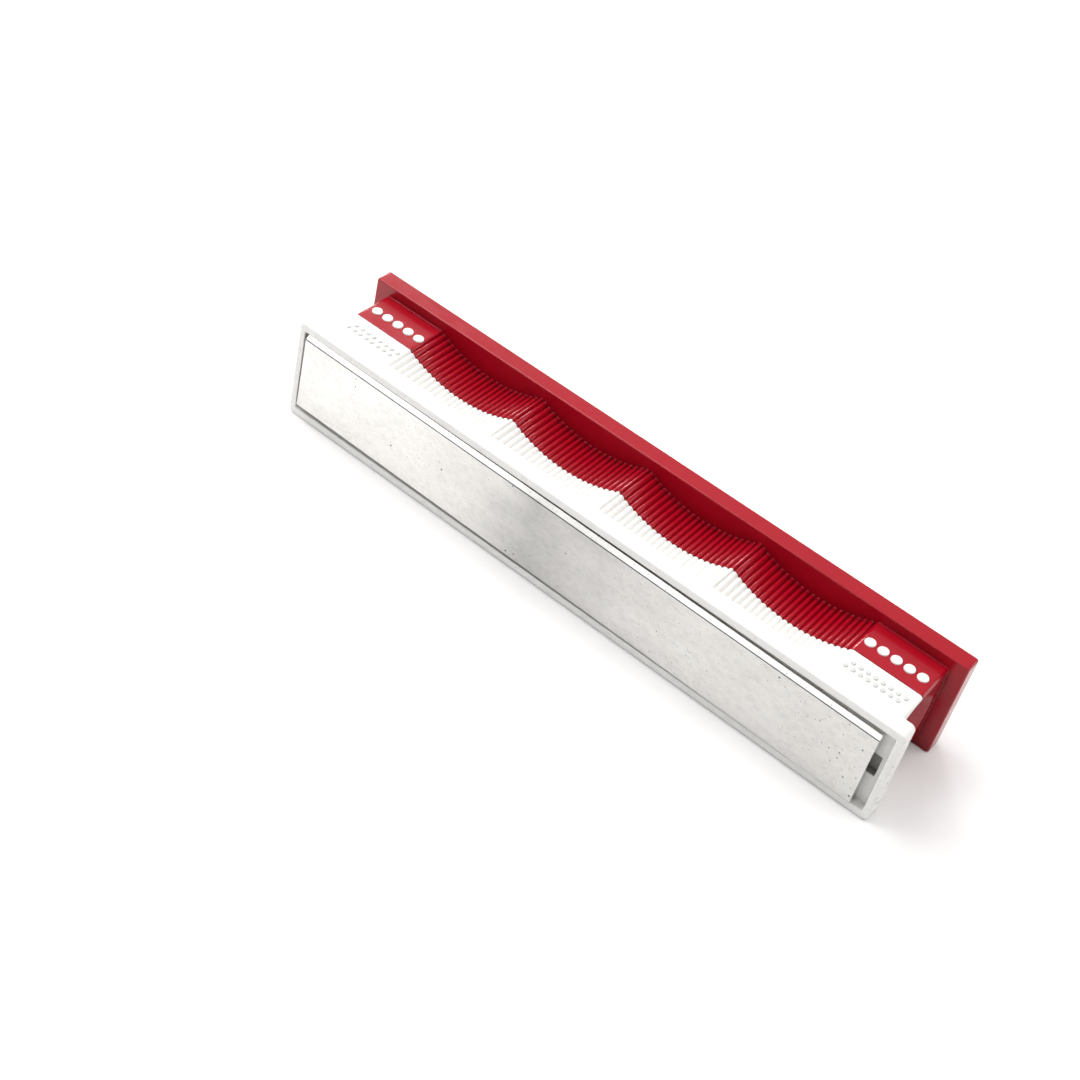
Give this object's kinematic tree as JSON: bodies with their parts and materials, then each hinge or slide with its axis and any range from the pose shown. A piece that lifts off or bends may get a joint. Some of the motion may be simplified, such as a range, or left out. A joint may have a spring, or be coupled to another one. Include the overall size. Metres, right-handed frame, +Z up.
{
  "type": "two-sided hand hone",
  "caption": "Hand-held hone with a scalloped, ribbed finger grip between two flanges, each flange carrying a lift-out steel plate: one side coarse, one side fine.",
  "frame": {"origin": "middle of the footprint, on the surface that the tool stands on when its flanges are upright", "axes": "+X along the tool, +Y from the fine side to the coarse side, +Z up across the flanges' width"},
  "size_m": [0.14, 0.0276, 0.0231],
  "materials": {
    "red_plastic": "deep red moulded plastic, semi-gloss",
    "white_plastic": "off-white moulded plastic, semi-gloss",
    "fine_plate_steel": "lengthwise brushed, lightly pitted",
    "coarse_plate_steel": "lengthwise brushed, more heavily scuffed",
    "magnet_nickel": "nickel plated",
    "screw_zinc": "zinc plated",
    "white_mark": "white printed tops of the coarse marks",
    "grey_mark": "pale grey printed tops of the fine marks"
  },
  "bodies": {
    "grip": {"coarse_grip_half": "red_plastic", "fine_grip_half": "white_plastic", "screw_outer_left": "screw_zinc", "screw_inner_left": "screw_zinc", "screw_inner_right": "screw_zinc", "screw_outer_right": "screw_zinc", "fine_magnet_left": "magnet_nickel", "fine_magnet_centre": "magnet_nickel", "fine_magnet_right": "magnet_nickel", "coarse_magnet_left": "magnet_nickel", "coarse_magnet_centre": "magnet_nickel", "coarse_magnet_right": "magnet_nickel"},
    "fine_plate": {"fine_plate": "fine_plate_steel"},
    "coarse_plate": {"coarse_plate": "coarse_plate_steel"}
  },
  "joints": [
    {"name": "fine_plate_lift", "type": "slide", "parent": "grip", "child": "fine_plate", "axis": [0, -1, 0], "range_m": [0, 0.012]},
    {"name": "coarse_plate_lift", "type": "slide", "parent": "grip", "child": "coarse_plate", "axis": [0, 1, 0], "range_m": [0, 0.012]}
  ]
}
